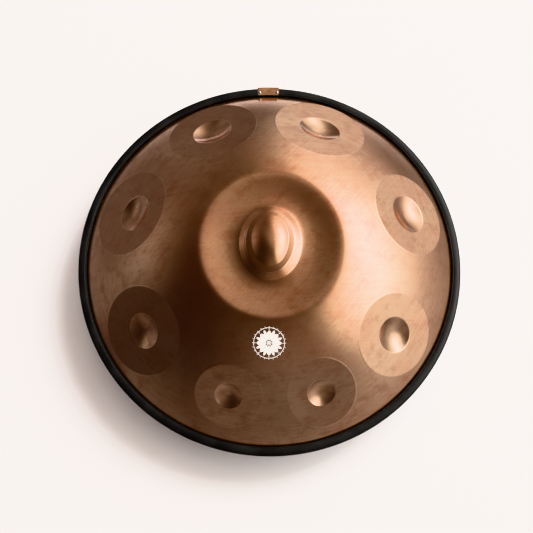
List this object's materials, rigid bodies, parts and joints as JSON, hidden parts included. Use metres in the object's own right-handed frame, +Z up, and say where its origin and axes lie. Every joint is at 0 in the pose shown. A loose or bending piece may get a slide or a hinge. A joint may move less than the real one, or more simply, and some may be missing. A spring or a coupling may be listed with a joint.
{
  "type": "handpan",
  "caption": "Copper-coloured steel handpan: domed top shell with oval ding and dimpled tone fields, ported bottom shell, rubber rim guard and riveted leather tag.",
  "frame": {"origin": "middle of the flat ring round the port, on the plane the instrument rests on", "axes": "+Z up along the axis of the two domes, +Y towards the leather tag on the rim, away from the player, -Y towards the player"},
  "size_m": [0.5599, 0.5612, 0.2146],
  "materials": {
    "copper_steel": "brushed and heat-tinted to a copper colour",
    "epoxy": "cured adhesive",
    "guard_rubber": "satin extruded rubber",
    "tag_leather": "waxed vegetable-tanned leather with an embossed panel",
    "nickel": "polished nickel plate"
  },
  "bodies": {
    "root": {"top_shell": "copper_steel", "bottom_shell": "copper_steel", "shell_bond": "epoxy", "edge_guard": "guard_rubber", "joint_tag": "tag_leather", "rivet_cap_left": "nickel", "rivet_cap_right": "nickel", "rivet_post_left": "nickel", "rivet_post_right": "nickel"}
  },
  "joints": []
}
